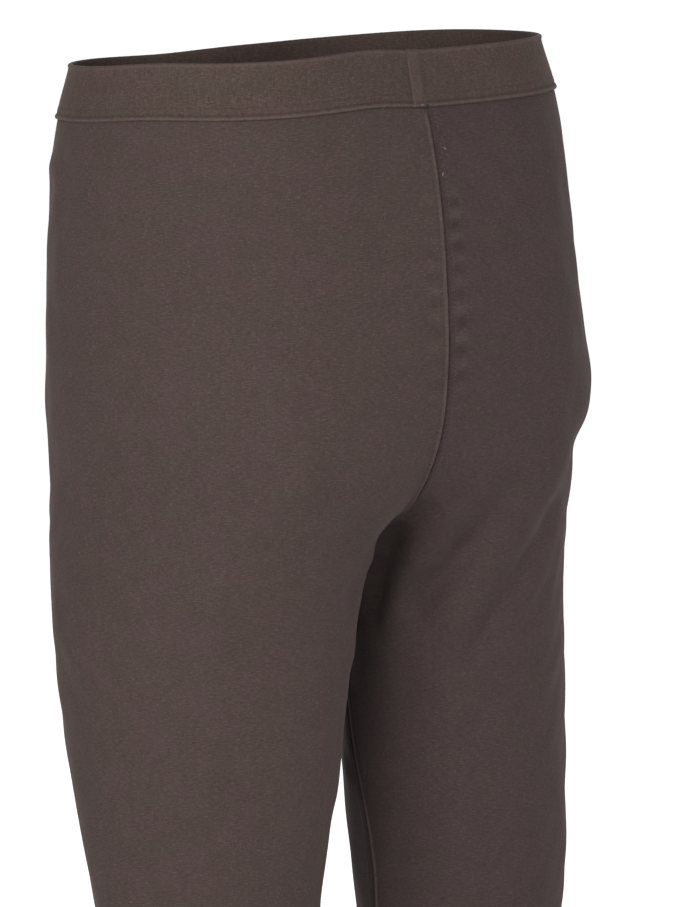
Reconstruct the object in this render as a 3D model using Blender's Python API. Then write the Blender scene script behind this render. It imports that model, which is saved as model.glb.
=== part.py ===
"""Close-fitting jersey trousers with an elastic waistband, standing in their worn, hollow form.

Frame: metres, +Z up, the front faces -Y, the wearer's left is +X, origin in the waist opening.
Each leg is one panel from the centre front round the outside to the centre back. Above the fork
its two edges lie on the mid-plane, and below it they meet in the inseam.
"""
import math

import bpy
import numpy as np

# driving sizes in metres
GARMENT_LENGTH = 0.955
BAND_DEPTH = 0.0335
FORK_Z = -0.321
FORK_ROUND = 0.010
WALL = 0.0018
SEAM_GAP = 0.0003
BAND_LAP = 0.0065
WELT_WIDTH = 0.0026
WELT_HEIGHT = 0.0008
WELT_FOOT = 0.0010
HEM_DEPTH = 0.020
HEM_HEIGHT = 0.0006

# the waist is worn a little higher at the back and on the right
SLOPE_TO_BACK = 0.070
SLOPE_TO_LEFT = -0.024
SLOPE_ENDS_Z = -0.200

# grid of a leg panel, and of the waistband
LEG_ROWS_ABOVE_FORK = 17
LEG_ROWS_BELOW_FORK = 23
LEG_COLUMNS = 28
BAND_COLUMNS_PER_HALF = 30
ROW_SAMPLES = 320
FORK_CROWDING = 0.050

# Section rows of the left half. The ring's centre is (centre_x, centre_y). It reaches outer to
# the side, front and back. The close values say how far the ring has shut on the mid-plane, 1 at
# the fork and more where the legs stand apart. Sweep shears the ring, outside edge forward.
SECTION_COLUMNS = ("z", "centre_x", "centre_y", "outer", "close_front", "close_back",
                   "front", "back", "sweep")
SECTIONS = np.array([
    (0.010, 0.050, -0.002, 0.099, 0.02, 0.02, 0.109, 0.114, 0.02),
    (0.000, 0.050, -0.002, 0.100, 0.03, 0.03, 0.110, 0.117, 0.03),
    (-0.035, 0.050, -0.004, 0.108, 0.05, 0.05, 0.116, 0.136, 0.04),
    (-0.080, 0.052, -0.002, 0.111, 0.08, 0.10, 0.119, 0.148, 0.07),
    (-0.130, 0.060, 0.002, 0.106, 0.12, 0.20, 0.118, 0.152, 0.11),
    (-0.180, 0.070, 0.007, 0.099, 0.18, 0.32, 0.115, 0.151, 0.14),
    (-0.225, 0.079, 0.010, 0.090, 0.28, 0.47, 0.112, 0.143, 0.20),
    (-0.265, 0.085, 0.012, 0.081, 0.48, 0.69, 0.110, 0.130, 0.25),
    (-0.300, 0.089, 0.014, 0.079, 0.80, 0.935, 0.107, 0.115, 0.27),
    (-0.321, 0.091, 0.015, 0.079, 1.00, 1.00, 0.104, 0.108, 0.26),
    (-0.345, 0.092, 0.017, 0.080, 1.05, 1.05, 0.100, 0.101, 0.25),
    (-0.400, 0.093, 0.022, 0.080, 1.12, 1.12, 0.093, 0.093, 0.22),
    (-0.470, 0.093, 0.027, 0.078, 1.18, 1.18, 0.084, 0.083, 0.12),
    (-0.540, 0.093, 0.032, 0.073, 1.28, 1.28, 0.073, 0.073, 0.00),
    (-0.600, 0.091, 0.036, 0.066, 1.38, 1.38, 0.064, 0.068, 0.00),
    (-0.680, 0.089, 0.040, 0.059, 1.50, 1.50, 0.058, 0.068, 0.00),
    (-0.780, 0.087, 0.042, 0.050, 1.75, 1.75, 0.050, 0.056, 0.00),
    (-0.880, 0.085, 0.042, 0.041, 2.10, 2.10, 0.044, 0.046, 0.00),
    (-0.955, 0.084, 0.042, 0.039, 2.20, 2.20, 0.044, 0.044, 0.00),
])

# Lifts of the waist edge: direction round the waist in degrees from +X, spread and height.
WAIST_LIFTS = (
    (74.0, 13.0, 0.0026),
    (20.0, 15.0, 0.0018),
    (205.0, 22.0, 0.0012),
    (292.0, 18.0, -0.0014),
)

# Large folds: side (+1 left, -1 right), then turn and z of both ends, width and height. Turn is
# the angle round the ring in degrees, 0 outside, 180 at the back edge, -180 at the front edge.
FOLDS = (
    (-1, 150.0, -0.345, 84.0, -0.244, 0.013, 0.0042),
    (-1, 122.0, -0.358, 78.0, -0.283, 0.014, -0.0036),
    (-1, 58.0, -0.216, 36.0, -0.196, 0.020, 0.0046),
    (-1, 70.0, -0.243, 38.0, -0.246, 0.011, -0.0036),
    (-1, 140.0, -0.288, 152.0, -0.335, 0.013, -0.0036),
    (1, 96.0, -0.262, 134.0, -0.322, 0.014, -0.0030),
    (1, -38.0, -0.058, -16.0, -0.072, 0.013, 0.0022),
    (1, -150.0, -0.300, -95.0, -0.255, 0.014, -0.0032),
    (-1, -147.0, -0.308, -100.0, -0.262, 0.015, -0.0030),
    (1, 120.0, -0.572, 60.0, -0.585, 0.013, -0.0028),
    (-1, 125.0, -0.580, 65.0, -0.568, 0.013, -0.0028),
)
FOLD_METRES_PER_DEGREE = 0.0016

# Waistband profile, inside the ring to outside: distance out from the panels' face, and depth
# below the band's upper edge. The lower part laps over the panels.
BAND_FACE = 0.0014
BAND_ROLL = 0.0019
JOIN_WIDTH = 0.0086
JOIN_THICKNESS = 0.0010
JOIN_CLEARANCE = 0.0004
JOIN_LEAN = 0.0052

JERSEY = (0.086, 0.062, 0.055)
ELASTIC = (0.094, 0.068, 0.058)


def spline(x, knots, values):
    """Smooth curve through the table's rows, its slope at a row taken from both neighbours."""
    order = np.argsort(knots)
    knots, values = knots[order], values[order]
    step = np.diff(knots)
    rise = np.diff(values) / step
    slope = np.empty_like(values)
    slope[1:-1] = (rise[:-1] * step[1:] + rise[1:] * step[:-1]) / (step[:-1] + step[1:])
    slope[0], slope[-1] = rise[0], rise[-1]
    i = np.clip(np.searchsorted(knots, x) - 1, 0, len(knots) - 2)
    u = (x - knots[i]) / step[i]
    return (values[i] * (1 + 2 * u) * (1 - u) ** 2 + slope[i] * step[i] * u * (1 - u) ** 2
            + values[i + 1] * u * u * (3 - 2 * u) + slope[i + 1] * step[i] * u * u * (u - 1))


def smooth_step(x, start, end):
    """0 at start, 1 at end, level at both."""
    u = np.clip((x - start) / (end - start), 0.0, 1.0)
    return u * u * (3 - 2 * u)


def section(z):
    """The section table's values at height z, by column name."""
    knots = SECTIONS[:, 0]
    return {name: spline(z, knots, SECTIONS[:, k])
            for k, name in enumerate(SECTION_COLUMNS) if k > 0}


def waist_shift(x, y, z):
    """How far a point rises with the worn waist: two slopes and the edge's lifts."""
    direction = np.degrees(np.arctan2(y, x))
    lift = 0.0
    for angle, spread, height in WAIST_LIFTS:
        away = (direction - angle + 180.0) % 360.0 - 180.0
        lift = lift + height * np.exp(-(away / spread) ** 2)
    share = smooth_step(z, SLOPE_ENDS_Z, -0.020)
    return share * (SLOPE_TO_BACK * y + SLOPE_TO_LEFT * x + lift)


def garment_point(side, z, reach, at_front, half_gap):
    """Point of a half garment; reach is 0 at the panel's edge and 1 at the outside of the ring.

    The ring is four quarter ovals about its centre. X on the ring becomes sqrt(X^2 - round^2),
    which rounds the valley at the mid-plane and the arch of the fork.
    """
    s = section(z)
    close = np.where(at_front, s["close_front"], s["close_back"])
    first = np.arccos(np.clip(close, -1.0, 1.0))
    ease = 0.15
    share = (np.sqrt(reach ** 2 + ease ** 2) - ease) / (math.sqrt(1 + ease ** 2) - ease)
    angle = first + (math.pi - first) * share
    inner = (s["centre_x"] - FORK_ROUND) / close
    across = np.where(np.cos(angle) > 0, inner, s["outer"])
    ring_x = s["centre_x"] - across * np.cos(angle)
    depth = np.where(at_front, -s["front"], s["back"])
    y = s["centre_y"] + depth * np.sin(angle) - s["sweep"] * (ring_x - s["centre_x"])
    x = side * np.sqrt(np.maximum(ring_x ** 2 - FORK_ROUND ** 2, 0.0) + half_gap ** 2)
    turn = np.where(at_front, -1.0, 1.0) * (180.0 - np.degrees(angle))
    return np.stack([x, y, z + waist_shift(x, y, z)], -1), turn


def row_at(side, level, distances, half_gap):
    """One row of a panel from its front edge to its back edge, at distances given as a function
    of the row's length. Near the fork the row's ends crowd towards it."""
    along = np.linspace(0.0, 1.0, ROW_SAMPLES)
    reach = 1.0 - np.abs(2 * along - 1.0)
    pull = (FORK_Z - level) * math.exp(-abs(level - FORK_Z) / FORK_CROWDING)
    z = level + pull * (1 - reach) ** 3
    points, turn = garment_point(side, z, reach, along < 0.5, half_gap)
    steps = np.linalg.norm(np.diff(points, axis=0), axis=1)
    length = np.concatenate([[0.0], np.cumsum(steps)])
    wanted = distances(length[-1])
    row = np.stack([np.interp(wanted, length, points[:, k]) for k in range(3)], -1)
    return row, np.interp(wanted, length, turn), np.interp(wanted, length, z)


def fold_height(side, turn, z):
    """Sum of the folds: a soft ridge or trough about each row's line."""
    height = np.zeros_like(turn)
    for fold_side, turn_a, z_a, turn_b, z_b, width, rise in FOLDS:
        if fold_side != side:
            continue
        start = np.array([turn_a * FOLD_METRES_PER_DEGREE, z_a])
        line = np.array([turn_b * FOLD_METRES_PER_DEGREE, z_b]) - start
        place = np.stack([turn * FOLD_METRES_PER_DEGREE, z], -1) - start
        share = np.clip(place @ line / (line @ line), 0.0, 1.0)
        off = np.linalg.norm(place - share[..., None] * line, axis=-1)
        height += rise * np.exp(-(off / width) ** 2)
    return height


def surface_normals(points, side, closed_from, ring):
    """Outward unit normals of a grid. Rows from closed_from on are closed rings, and above them
    the row's ends lie on the mid-plane, so the normal has no x there."""
    along = np.gradient(points, axis=1)
    if ring:
        along = (np.roll(points, -1, axis=1) - np.roll(points, 1, axis=1)) / 2
    else:
        meet = points[closed_from:, 1] - points[closed_from:, -2]
        along[closed_from:, 0] = meet / 2
        along[closed_from:, -1] = meet / 2
    down = np.gradient(points, axis=0)
    normal = np.cross(down, along) * side
    if not ring:
        normal[:closed_from, (0, -1), 0] = 0.0
        normal[closed_from, (0, -1)] = (0.0, 0.0, -1.0)
    return normal / np.linalg.norm(normal, axis=-1, keepdims=True)


def panel_columns(row_length):
    """Distances of a panel's columns: the seam's ridge at both edges, finer towards the back."""
    ridge = WELT_WIDTH + WELT_FOOT
    even = np.linspace(0.0, 1.0, LEG_COLUMNS + 1)
    inside = ridge + (row_length - 2 * ridge) * even * (1.3 - 0.3 * even)
    return np.concatenate([[0.0, WELT_WIDTH], inside, [row_length - WELT_WIDTH, row_length]])


def panel_levels():
    """Heights of a panel's rows, from under the band to the hem."""
    top = -BAND_DEPTH + BAND_LAP
    first = -BAND_DEPTH - 0.012
    above = np.linspace(first, FORK_Z, LEG_ROWS_ABOVE_FORK)
    hem_top = -GARMENT_LENGTH + HEM_DEPTH
    below = np.linspace(FORK_Z, hem_top - 0.002, LEG_ROWS_BELOW_FORK)[1:]
    levels = np.concatenate([[top, -BAND_DEPTH - 0.002], above, below, [hem_top, -GARMENT_LENGTH]])
    return levels, 2 + LEG_ROWS_ABOVE_FORK - 1


def build_panel_grid(side):
    """Outer and inner points of one leg panel, and the row that closes at the fork."""
    levels, fork_row = panel_levels()
    rows = [row_at(side, level, panel_columns, SEAM_GAP / 2) for level in levels]
    face = np.array([row[0] for row in rows])
    turn = np.array([row[1] for row in rows])
    height = np.array([row[2] for row in rows])
    normal = surface_normals(face, side, fork_row, False)
    edge_share = np.minimum(1.0, (180.0 - np.abs(turn)) / 30.0) * smooth_step(height, -0.05, -0.09)
    face = face + normal * (fold_height(side, turn, height) * edge_share)[..., None]
    normal = surface_normals(face, side, fork_row, False)
    inside = face - normal * WALL

    welt = np.zeros(face.shape[:2])
    shown = smooth_step(levels, -BAND_DEPTH - 0.001, -BAND_DEPTH - 0.011)
    if side < 0:
        shown = shown * (np.arange(len(levels)) > fork_row)
    welt[:, :2] = shown[:, None]
    welt[:, -2:] = shown[:, None]
    outside = face + normal * (welt * WELT_HEIGHT)[..., None]
    outside[-2:] += normal[-2:] * HEM_HEIGHT * (1 - welt[-2:, :, None])
    for sheet in (outside, inside):
        sheet[..., 0] = side * np.maximum(side * sheet[..., 0], SEAM_GAP / 2)
        sheet[:fork_row + 1, (0, -1), 0] = side * SEAM_GAP / 2
    return outside, inside, fork_row


def panel_mesh(side):
    """Wall of a leg panel as one closed body: two sheets, joined along the edges and ends."""
    outside, inside, fork_row = build_panel_grid(side)
    rows, columns = outside.shape[:2]
    index = np.full((2, rows, columns), -1)
    points = []
    for layer, sheet in enumerate((outside, inside)):
        for r in range(rows):
            closed = r >= fork_row
            for c in range(columns):
                if closed and c == columns - 1:
                    index[layer, r, c] = index[layer, r, 0]
                else:
                    index[layer, r, c] = len(points)
                    points.append(sheet[r, c])
    faces = []
    for r in range(rows - 1):
        for c in range(columns - 1):
            for layer in (0, 1):
                quad = [index[layer, r, c], index[layer, r + 1, c],
                        index[layer, r + 1, c + 1], index[layer, r, c + 1]]
                faces.append(quad if (layer == 0) == (side > 0) else quad[::-1])
    for r in (0, rows - 1):
        for c in range(columns - 1):
            quad = [index[0, r, c], index[0, r, c + 1], index[1, r, c + 1], index[1, r, c]]
            faces.append(quad if (r == 0) == (side > 0) else quad[::-1])
    for c in (0, columns - 1):
        for r in range(fork_row):
            quad = [index[0, r, c], index[1, r, c], index[1, r + 1, c], index[0, r + 1, c]]
            faces.append(quad if (c == 0) == (side > 0) else quad[::-1])
    return points, [tidy_face(face) for face in faces]


def tidy_face(face):
    """A face without a corner that is named twice."""
    return [v for k, v in enumerate(face) if v != face[k - 1]]


def band_profile():
    """The waistband's closed outline as (distance out, depth below its edge), outside first."""
    lap_top = BAND_DEPTH - BAND_LAP
    return np.array([
        (-0.0004, 0.0000),
        (0.0010, 0.0004),
        (BAND_ROLL, 0.0018),
        (BAND_FACE, 0.0040),
        (BAND_FACE, 0.0160),
        (BAND_FACE, BAND_DEPTH - 0.0050),
        (BAND_ROLL, BAND_DEPTH - 0.0022),
        (BAND_ROLL, BAND_DEPTH - 0.0004),
        (0.0011, BAND_DEPTH + 0.0002),
        (SEAM_GAP, BAND_DEPTH),
        (SEAM_GAP, lap_top - SEAM_GAP - 0.0004),
        (-WALL, lap_top - SEAM_GAP - 0.0004),
        (-WALL, 0.0020),
        (-0.0013, 0.0005),
    ])


def band_ring(depth):
    """One closed ring of the panels' face at a depth below the band's edge, and its normals."""
    even = np.linspace(0.0, 1.0, BAND_COLUMNS_PER_HALF + 1)
    loops = []
    for level in (-depth + 0.001, -depth, -depth - 0.001):
        halves = [row_at(side, level, lambda length: length * even, 0.0)[0] for side in (1, -1)]
        loops.append(np.concatenate([halves[0], halves[1][-2:0:-1]]))
    loops = np.array(loops)
    normal = surface_normals(loops, 1, 0, True)
    return loops[1], normal[1]


def waistband_mesh():
    """The waistband: its profile carried round the waist."""
    profile = band_profile()
    rings = []
    for out, depth in profile:
        ring, normal = band_ring(depth)
        rings.append(ring + normal * out)
    rings = np.array(rings)
    count, columns = rings.shape[:2]
    points = rings.reshape(-1, 3)
    faces = []
    for r in range(count):
        for c in range(columns):
            below, beside = (r + 1) % count, (c + 1) % columns
            faces.append([r * columns + c, below * columns + c,
                          below * columns + beside, r * columns + beside])
    return points, faces


def join_mesh():
    """The lapped end of the elastic: a strip on the band's face at the centre back, which
    follows the band's profile and is thinner along its sides."""
    across = np.linspace(-0.5, 0.5, 5)
    thick = JOIN_THICKNESS * (1.0 - 0.45 * (2 * across) ** 4)
    outer, inner = [], []
    for out, depth in band_profile()[1:9]:
        ring, normal = band_ring(depth)
        near = (ring[:, 1] > 0) & (np.abs(ring[:, 0]) < 4 * JOIN_WIDTH)
        order = np.argsort(ring[near, 0])
        wanted = JOIN_LEAN * depth / BAND_DEPTH + JOIN_WIDTH * across
        place, away = [np.stack([np.interp(wanted, ring[near, 0][order], grid[near, k][order])
                                 for k in range(3)], -1) for grid in (ring, normal)]
        lift = out + JOIN_CLEARANCE
        inner.append(place + away * lift)
        outer.append(place + away * (lift + thick)[:, None])
    return slab(np.array(outer), np.array(inner))


def slab(outer, inner):
    """Closed body between two open grids of the same size."""
    rows, columns = outer.shape[:2]
    points = np.concatenate([outer.reshape(-1, 3), inner.reshape(-1, 3)])
    shift = rows * columns

    def at(r, c, layer):
        return r * columns + c + layer * shift

    faces = []
    for r in range(rows - 1):
        for c in range(columns - 1):
            faces.append([at(r, c, 0), at(r, c + 1, 0), at(r + 1, c + 1, 0), at(r + 1, c, 0)])
            faces.append([at(r, c, 1), at(r + 1, c, 1), at(r + 1, c + 1, 1), at(r, c + 1, 1)])
    for c in range(columns - 1):
        faces.append([at(0, c, 0), at(0, c, 1), at(0, c + 1, 1), at(0, c + 1, 0)])
        last = rows - 1
        faces.append([at(last, c, 0), at(last, c + 1, 0), at(last, c + 1, 1), at(last, c, 1)])
    for r in range(rows - 1):
        faces.append([at(r, 0, 0), at(r + 1, 0, 0), at(r + 1, 0, 1), at(r, 0, 1)])
        end = columns - 1
        faces.append([at(r, end, 0), at(r, end, 1), at(r + 1, end, 1), at(r + 1, end, 0)])
    return points, faces


def cloth_material(name, colour, roughness):
    """Matt cloth in one colour."""
    material = bpy.data.materials.new(name)
    material.use_nodes = True
    shader = material.node_tree.nodes["Principled BSDF"]
    shader.inputs["Base Color"].default_value = (*colour, 1.0)
    shader.inputs["Roughness"].default_value = roughness
    shader.inputs["Metallic"].default_value = 0.0
    return material


def add_piece(name, points, faces, material):
    """Put a closed body into the scene, smooth but for its sharp edges."""
    mesh = bpy.data.meshes.new(name)
    mesh.from_pydata([tuple(map(float, p)) for p in points], [],
                     [tuple(map(int, f)) for f in faces])
    mesh.update()
    mesh.materials.append(material)
    mesh.shade_smooth()
    mesh.set_sharp_from_angle(angle=math.radians(50))
    piece = bpy.data.objects.new(name, mesh)
    bpy.context.scene.collection.objects.link(piece)
    return piece


def build():
    """All pieces of the garment."""
    for old in list(bpy.data.objects):
        bpy.data.objects.remove(old, do_unlink=True)
    jersey_left = cloth_material("jersey_left", JERSEY, 0.85)
    jersey_right = cloth_material("jersey_right", JERSEY, 0.85)
    elastic = cloth_material("elastic_band", ELASTIC, 0.80)
    strip = cloth_material("elastic_join", ELASTIC, 0.80)
    add_piece("leg_left", *panel_mesh(1), jersey_left)
    add_piece("leg_right", *panel_mesh(-1), jersey_right)
    add_piece("waistband", *waistband_mesh(), elastic)
    add_piece("waistband_join", *join_mesh(), strip)


build()
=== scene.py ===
# Close-fitting jersey trousers with a flat elastic waistband, in their worn, hollow form.
# Each leg is one curved sheet of knitted cloth, closed at its edges, on the form of its solid.
# Metres, +Z up, the front faces -Y and the wearer's left is +X.
import math

import bpy
import numpy as np
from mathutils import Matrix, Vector


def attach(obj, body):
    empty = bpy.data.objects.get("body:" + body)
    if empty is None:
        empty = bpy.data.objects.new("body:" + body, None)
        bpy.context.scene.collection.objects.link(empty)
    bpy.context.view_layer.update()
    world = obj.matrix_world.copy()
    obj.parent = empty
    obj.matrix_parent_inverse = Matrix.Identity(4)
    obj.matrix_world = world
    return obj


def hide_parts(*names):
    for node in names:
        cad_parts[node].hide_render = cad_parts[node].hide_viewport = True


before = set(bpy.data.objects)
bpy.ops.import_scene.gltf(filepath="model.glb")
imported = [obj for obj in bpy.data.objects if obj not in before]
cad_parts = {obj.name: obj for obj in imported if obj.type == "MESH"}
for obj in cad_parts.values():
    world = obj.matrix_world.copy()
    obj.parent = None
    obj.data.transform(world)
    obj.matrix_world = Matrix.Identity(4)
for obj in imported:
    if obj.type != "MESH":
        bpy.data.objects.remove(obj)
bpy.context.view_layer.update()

scene = bpy.context.scene
print("frame loaded")

# The form of the garment, the same as the solids'.
garment = {
    "length": 0.955,  # waist edge to hem
    "bandDepth": 0.0335,
    "bandLap": 0.0065,  # how far the band covers the panels
    "forkZ": -0.321,
    "forkRound": 0.010,  # rounding of the valley and of the fork's arch
    "forkCrowding": 0.050,  # how far above and below the fork the rows' ends are drawn to it
    "slopeToBack": 0.070,  # the waist is worn a little higher at the back and on the right
    "slopeToLeft": -0.024,
    "slopeEndsZ": -0.200,
    "rowSamples": 900,
    "ease": 0.15,  # softens the crowding of a row's samples at the panel's edge
}

# Section rows of the left half, top to hem. The ring's centre is (centreX, centreY). It reaches
# outer to the side, front and back. close says how far the ring has shut on the mid-plane, 1 at
# the fork. Sweep shears the ring, outside edge forward.
sectionNames = ("z", "centreX", "centreY", "outer", "closeFront", "closeBack", "front", "back",
                "sweep")
sectionRows = np.array([
    (0.010, 0.050, -0.002, 0.099, 0.02, 0.02, 0.109, 0.114, 0.02),
    (0.000, 0.050, -0.002, 0.100, 0.03, 0.03, 0.110, 0.117, 0.03),
    (-0.035, 0.050, -0.004, 0.108, 0.05, 0.05, 0.116, 0.136, 0.04),
    (-0.080, 0.052, -0.002, 0.111, 0.08, 0.10, 0.119, 0.148, 0.07),
    (-0.130, 0.060, 0.002, 0.106, 0.12, 0.20, 0.118, 0.152, 0.11),
    (-0.180, 0.070, 0.007, 0.099, 0.18, 0.32, 0.115, 0.151, 0.14),
    (-0.225, 0.079, 0.010, 0.090, 0.28, 0.47, 0.112, 0.143, 0.20),
    (-0.265, 0.085, 0.012, 0.081, 0.48, 0.69, 0.110, 0.130, 0.25),
    (-0.300, 0.089, 0.014, 0.079, 0.80, 0.935, 0.107, 0.115, 0.27),
    (-0.321, 0.091, 0.015, 0.079, 1.00, 1.00, 0.104, 0.108, 0.26),
    (-0.345, 0.092, 0.017, 0.080, 1.05, 1.05, 0.100, 0.101, 0.25),
    (-0.400, 0.093, 0.022, 0.080, 1.12, 1.12, 0.093, 0.093, 0.22),
    (-0.470, 0.093, 0.027, 0.078, 1.18, 1.18, 0.084, 0.083, 0.12),
    (-0.540, 0.093, 0.032, 0.073, 1.28, 1.28, 0.073, 0.073, 0.00),
    (-0.600, 0.091, 0.036, 0.066, 1.38, 1.38, 0.064, 0.068, 0.00),
    (-0.680, 0.089, 0.040, 0.059, 1.50, 1.50, 0.058, 0.068, 0.00),
    (-0.780, 0.087, 0.042, 0.050, 1.75, 1.75, 0.050, 0.056, 0.00),
    (-0.880, 0.085, 0.042, 0.041, 2.10, 2.10, 0.044, 0.046, 0.00),
    (-0.955, 0.084, 0.042, 0.039, 2.20, 2.20, 0.044, 0.044, 0.00),
])

# Where the inseam runs: z, and how far round the ring it lies to the front, in radians.
inseamRows = np.array([
    (-0.345, 0.00),
    (-0.395, 0.20),
    (-0.435, 0.17),
    (-0.530, -0.08),
    (-0.600, 0.00),
    (-0.700, 0.00),
])

# Lifts of the waist edge: direction round the waist in degrees from +X, spread, height.
waistLifts = (
    (74.0, 13.0, 0.0026),
    (20.0, 15.0, 0.0018),
    (205.0, 22.0, 0.0012),
    (292.0, 18.0, -0.0014),
)


# 0 at start, 1 at end, level at both
def smoothStep(x, start, end):
    u = np.clip((x - start) / (end - start), 0.0, 1.0)
    return u * u * (3 - 2 * u)


# 1 at the place, fading on both sides of it: exp(-(distance / width)^2)
def hump(x, place, width):
    return np.exp(-((x - place) / width) ** 2)


# vectors of length 1
def unit(vectors):
    return vectors / np.linalg.norm(vectors, axis=-1, keepdims=True)


# distances along a line of points, or round a closed loop of them
def distanceAlong(points, closed):
    after = np.roll(points, -1, axis=0) if closed else points[1:]
    steps = np.linalg.norm(after - points[:len(after)], axis=1)
    return np.concatenate([[0.0], np.cumsum(steps)])


# cubic curve through the table's values, its slope at a row taken from both neighbours
def curveThrough(x, knots, values):
    order = np.argsort(knots)
    knots, values = knots[order], values[order]
    step = np.diff(knots)
    rise = np.diff(values) / step
    slope = np.empty_like(values)
    slope[1:-1] = (rise[:-1] * step[1:] + rise[1:] * step[:-1]) / (step[:-1] + step[1:])
    slope[0], slope[-1] = rise[0], rise[-1]
    i = np.clip(np.searchsorted(knots, x) - 1, 0, len(knots) - 2)
    u = (x - knots[i]) / step[i]
    return (values[i] * (1 + 2 * u) * (1 - u) ** 2 + slope[i] * step[i] * u * (1 - u) ** 2
            + values[i + 1] * u * u * (3 - 2 * u) + slope[i + 1] * step[i] * u * u * (u - 1))


# how far a point rises with the worn waist: two slopes and the edge's lifts
def waistShift(x, y, z):
    direction = np.degrees(np.arctan2(y, x))
    lift = 0.0
    for angle, spread, height in waistLifts:
        away = (direction - angle + 180.0) % 360.0 - 180.0
        lift = lift + height * hump(away, 0.0, spread)
    share = smoothStep(z, garment["slopeEndsZ"], -0.020)
    return share * (garment["slopeToBack"] * y + garment["slopeToLeft"] * x + lift)


# Point of a half garment. The ring is four quarter ovals about its centre; reach is 0 at the
# panel's edge and 1 at the outside. X on the ring becomes sqrt(X^2 - round^2), which rounds the
# valley at the mid-plane and the arch of the fork.
def halfPoint(side, z, reach, atFront, halfGap):
    s = {name: curveThrough(z, sectionRows[:, 0], sectionRows[:, k])
         for k, name in enumerate(sectionNames) if k > 0}
    close = np.where(atFront, s["closeFront"], s["closeBack"])
    lean = curveThrough(np.clip(z, inseamRows[-1, 0], inseamRows[0, 0]), *inseamRows.T)
    first = np.arccos(np.clip(close, -1.0, 1.0)) + np.where(atFront, lean, -lean)
    ease = garment["ease"]
    share = (np.sqrt(reach ** 2 + ease ** 2) - ease) / (math.sqrt(1 + ease ** 2) - ease)
    angle = first + (math.pi - first) * share
    inner = (s["centreX"] - garment["forkRound"]) / close
    across = np.where(np.cos(angle) > 0, inner, s["outer"])
    ringX = s["centreX"] - across * np.cos(angle)
    depth = np.where(atFront, -s["front"], np.where(angle < 0, s["front"], s["back"]))
    y = s["centreY"] + depth * np.sin(angle) - s["sweep"] * (ringX - s["centreX"])
    x = side * np.sqrt(np.maximum(ringX ** 2 - garment["forkRound"] ** 2, 0.0) + halfGap ** 2)
    turn = np.where(atFront, -1.0, 1.0) * (180.0 - np.degrees(angle))
    return np.stack([x, y, z + waistShift(x, y, z)], -1), turn


# Rows of a panel at their levels, front edge to back edge, each resampled at distances along the
# cloth. Near the fork the rows' ends crowd towards it. Gives points, turn, height and distances.
def panelRows(side, levels, distances, halfGap):
    along = np.linspace(0.0, 1.0, garment["rowSamples"])[None, :]
    reach = 1.0 - np.abs(2 * along - 1.0)
    level = np.asarray(levels)[:, None]
    pull = (garment["forkZ"] - level) * np.exp(-np.abs(level - garment["forkZ"])
                                               / garment["forkCrowding"])
    z = level + pull * (1 - reach) ** 3
    points, turn = halfPoint(side, z, reach, along < 0.5, halfGap)
    length = np.zeros(z.shape)
    length[:, 1:] = np.cumsum(np.linalg.norm(np.diff(points, axis=1), axis=2), axis=1)
    wanted = distances(length[:, -1:])
    grids = [points[..., 0], points[..., 1], points[..., 2], turn, z]
    x, y, up, turn, height = [
        np.array([np.interp(w, l, g) for w, l, g in zip(wanted, length, grid)]) for grid in grids]
    return np.stack([x, y, up], -1), turn, height, wanted


# Outward unit normals of a grid of rows and columns. Rows from closedFrom on are closed rings;
# above them the row's ends lie on the mid-plane, so the normal has no x there.
def panelNormals(points, side, closedFrom):
    along = np.gradient(points, axis=1)
    meet = points[closedFrom:, 1] - points[closedFrom:, -2]
    along[closedFrom:, 0] = meet / 2
    along[closedFrom:, -1] = meet / 2
    normal = np.cross(np.gradient(points, axis=0), along) * side
    normal[:closedFrom, (0, -1), 0] = 0.0
    normal[closedFrom, (0, -1)] = (0.0, 0.0, -1.0)
    return unit(normal)


# an object in the scene
def addObject(name, data):
    added = bpy.data.objects.new(name, data)
    scene.collection.objects.link(added)
    return added


# mesh from points and quads, with a map in metres given at each quad's corner and, for each point,
# how much paler it is than the cloth around, much of it painted highlight and shade
def meshObject(name, points, faces, materials, corners=None, slots=None, sharp=55.0, tone=None):
    mesh = bpy.data.meshes.new(name)
    mesh.from_pydata(points.tolist(), [], [list(face) for face in faces])
    if corners is not None:
        layer = mesh.uv_layers.new(name="clothMap")
        layer.data.foreach_set("uv", np.ascontiguousarray(corners, dtype=np.float32).ravel())
    if tone is not None:
        mesh.attributes.new("tone", "FLOAT", "POINT").data.foreach_set(
            "value", np.asarray(tone, dtype=np.float32).ravel())
    for material in materials:
        mesh.materials.append(material)
    if slots is not None:
        mesh.polygons.foreach_set("material_index", np.asarray(slots, dtype=np.int32))
    mesh.update()
    mesh.shade_smooth()
    mesh.set_sharp_from_angle(angle=math.radians(sharp))
    return addObject(name, mesh)


# quads between neighbouring grid points, as four arrays of numbers put side by side
def quadsOf(a, b, c, d):
    return np.stack([a, b, c, d], -1).reshape(-1, 4)


# Point numbers and faces of a shell: its outer and inner sheet, and the rims at the top, the foot
# and the sides, these down to the row before last.
def shellFaces(rows, columns, last):
    number = np.arange(2 * rows * columns).reshape(2, rows, columns)
    out, inn = number
    return number, [
        quadsOf(out[:-1, :-1], out[1:, :-1], out[1:, 1:], out[:-1, 1:]),
        quadsOf(inn[:-1, 1:], inn[1:, 1:], inn[1:, :-1], inn[:-1, :-1]),
        quadsOf(out[0, :-1], out[0, 1:], inn[0, 1:], inn[0, :-1]),
        quadsOf(inn[-1, :-1], inn[-1, 1:], out[-1, 1:], out[-1, :-1]),
        quadsOf(out[:last - 1, 0], inn[:last - 1, 0], inn[1:last, 0], out[1:last, 0]),
        quadsOf(out[1:last, -1], inn[1:last, -1], inn[:last - 1, -1], out[:last - 1, -1])]


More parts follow.
